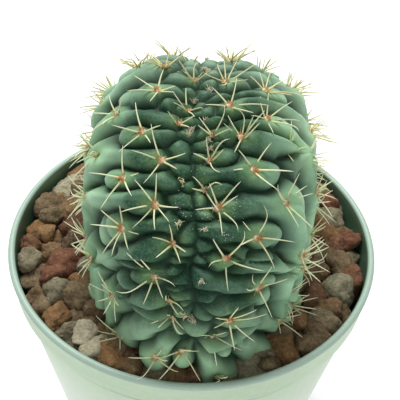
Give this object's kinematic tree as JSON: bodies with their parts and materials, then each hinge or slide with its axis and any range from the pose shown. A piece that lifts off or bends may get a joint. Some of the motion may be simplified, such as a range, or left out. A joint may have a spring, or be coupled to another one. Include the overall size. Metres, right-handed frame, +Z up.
{
  "type": "potted crested dwarf chin cactus",
  "caption": "Crested dwarf chin cactus with a ribbed, spiny crest, growing in a round tapered plastic pot topped with lava gravel.",
  "frame": {"origin": "middle of the pot's underside, on the surface that it stands on", "axes": "+Z up along the pot's axis, the crest runs along Y, and -Y is the side that faces the viewer"},
  "size_m": [0.1, 0.1, 0.1347],
  "materials": {
    "pot_plastic": "pale mint green moulded plastic, satin, greyer at the rim",
    "potting_soil": "dark gritty potting mix, matt",
    "lava_gravel": "rough porous lava stones, red-brown and tan, matt",
    "cactus_skin": "blue-green skin with a matt bloom, paler down the flanks, straw-yellow spines"
  },
  "bodies": {
    "root": {"pot": "pot_plastic", "soil": "potting_soil", "gravel": "lava_gravel", "cactus": "cactus_skin"}
  },
  "joints": []
}
